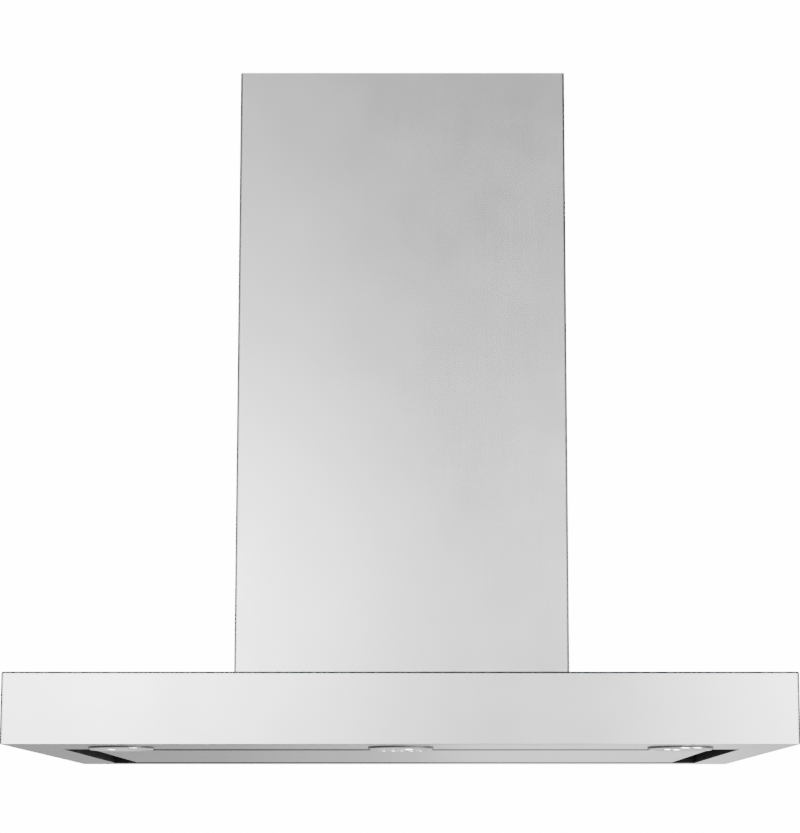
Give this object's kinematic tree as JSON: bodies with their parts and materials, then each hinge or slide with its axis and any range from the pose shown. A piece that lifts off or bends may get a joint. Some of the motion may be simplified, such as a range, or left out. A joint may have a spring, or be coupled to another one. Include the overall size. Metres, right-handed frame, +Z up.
{
  "type": "island range hood",
  "caption": "Ceiling-hung stainless island range hood: telescopic chimney, shallow canopy with perimeter suction slot, hinged panel, round lamps and push buttons.",
  "frame": {"origin": "centre of the ceiling plate's top face, on the axis of the duct hole, where the hood meets the ceiling", "axes": "+Z up to the ceiling, -Y towards the front (the side with the lamps and control), +X to the right as seen from the front"},
  "size_m": [0.914, 0.7, 0.8605],
  "materials": {
    "stainless_cover": "satin brushed stainless steel, vertical grain",
    "stainless_canopy": "satin brushed stainless steel, grain along the width",
    "galvanised_frame": "zinc-plated sheet steel",
    "filter_aluminium": "bare aluminium",
    "latch_plastic": "matt dark grey plastic",
    "chrome": "polished chrome",
    "lamp_glass": "frosted lens",
    "cable_rubber": "matt black sheath",
    "button_metal": "satin metallised cap",
    "dark_cavity": "matt black paint",
    "black_plastic": "matt black plastic",
    "driver_plastic": "white plastic",
    "motor_steel": "zinc-plated motor can"
  },
  "bodies": {
    "ceiling_frame": {"ceiling_plate": "galvanised_frame", "upper_cover_front": "stainless_cover", "upper_cover_rear": "stainless_cover", "upper_leg_front_left": "galvanised_frame", "upper_leg_front_right": "galvanised_frame", "upper_leg_rear_left": "galvanised_frame", "upper_leg_rear_right": "galvanised_frame"},
    "canopy": {"lower_cover_front": "stainless_cover", "lower_cover_rear": "stainless_cover", "canopy_shell": "stainless_canopy", "bottom_frame": "stainless_canopy", "motor_bracket": "galvanised_frame", "outlet_collar": "galvanised_frame", "damper_rod": "galvanised_frame", "blower_casing": "galvanised_frame", "scroll_housing": "galvanised_frame", "junction_box": "galvanised_frame", "junction_cover": "galvanised_frame", "lower_leg_front_left": "galvanised_frame", "lower_leg_front_right": "galvanised_frame", "lower_leg_rear_left": "galvanised_frame", "lower_leg_rear_right": "galvanised_frame", "panel_hinge_bracket_left": "galvanised_frame", "filter_frame_left": "filter_aluminium", "filter_mesh_left": "filter_aluminium", "lamp_body_left": "filter_aluminium", "lamp_bezel_left": "chrome", "lamp_lens_left": "lamp_glass", "lamp_lead_left": "cable_rubber", "panel_hinge_bracket_right": "galvanised_frame", "filter_frame_right": "filter_aluminium", "filter_mesh_right": "filter_aluminium", "lamp_body_right": "filter_aluminium", "lamp_bezel_right": "chrome", "lamp_lens_right": "lamp_glass", "lamp_lead_right": "cable_rubber", "control_bezel": "chrome", "cavity_wall": "dark_cavity", "filter_shelf": "dark_cavity", "control_housing": "black_plastic", "panel_magnet": "black_plastic", "supply_gland": "black_plastic", "lamp_driver": "driver_plastic", "motor": "motor_steel", "control_lead": "cable_rubber"},
    "suction_panel": {"suction_panel": "stainless_canopy", "panel_stiffener": "galvanised_frame", "panel_hinge_arm_left": "galvanised_frame", "panel_hinge_arm_right": "galvanised_frame"},
    "latch_left": {"filter_latch_left": "latch_plastic"},
    "latch_right": {"filter_latch_right": "latch_plastic"},
    "wheel": {"impeller": "black_plastic", "motor_shaft": "motor_steel"},
    "flap_front": {"damper_flap_front": "galvanised_frame"},
    "flap_rear": {"damper_flap_rear": "galvanised_frame"},
    "button_1": {"button_1": "button_metal"},
    "button_2": {"button_2": "button_metal"},
    "button_3": {"button_3": "button_metal"},
    "button_4": {"button_4": "button_metal"},
    "button_5": {"button_5": "button_metal"}
  },
  "joints": [
    {"name": "height_slide", "type": "slide", "parent": "ceiling_frame", "child": "canopy", "axis": [0, 0, -1], "range_m": [0, 0.25]},
    {"name": "panel_hinge", "type": "hinge", "parent": "canopy", "child": "suction_panel", "pos_m": [0, 0.2545, -0.847], "axis": [1, 0, 0], "range_deg": [0, 85]},
    {"name": "latch_slide_left", "type": "slide", "parent": "canopy", "child": "latch_left", "axis": [0, 1, 0], "range_m": [0, 0.006], "stiffness_N_per_m": 300, "springref_m": -0.002},
    {"name": "latch_slide_right", "type": "slide", "parent": "canopy", "child": "latch_right", "axis": [0, 1, 0], "range_m": [0, 0.006], "stiffness_N_per_m": 300, "springref_m": -0.002},
    {"name": "button_press_1", "type": "slide", "parent": "canopy", "child": "button_1", "axis": [0, 0, 1], "range_m": [0, 0.0015], "stiffness_N_per_m": 600, "springref_m": -0.0008},
    {"name": "button_press_2", "type": "slide", "parent": "canopy", "child": "button_2", "axis": [0, 0, 1], "range_m": [0, 0.0015], "stiffness_N_per_m": 600, "springref_m": -0.0008},
    {"name": "button_press_3", "type": "slide", "parent": "canopy", "child": "button_3", "axis": [0, 0, 1], "range_m": [0, 0.0015], "stiffness_N_per_m": 600, "springref_m": -0.0008},
    {"name": "button_press_4", "type": "slide", "parent": "canopy", "child": "button_4", "axis": [0, 0, 1], "range_m": [0, 0.0015], "stiffness_N_per_m": 600, "springref_m": -0.0008},
    {"name": "button_press_5", "type": "slide", "parent": "canopy", "child": "button_5", "axis": [0, 0, 1], "range_m": [0, 0.0015], "stiffness_N_per_m": 600, "springref_m": -0.0008},
    {"name": "wheel_spin", "type": "hinge", "parent": "canopy", "child": "wheel", "pos_m": [0, -0.05, -0.625], "axis": [1, 0, 0], "continuous": true},
    {"name": "flap_front_swing", "type": "hinge", "parent": "canopy", "child": "flap_front", "pos_m": [0, 0, -0.4455], "axis": [-1, 0, 0], "range_deg": [0, 78]},
    {"name": "flap_rear_swing", "type": "hinge", "parent": "canopy", "child": "flap_rear", "pos_m": [0, 0, -0.4455], "axis": [1, 0, 0], "range_deg": [0, 78]}
  ]
}
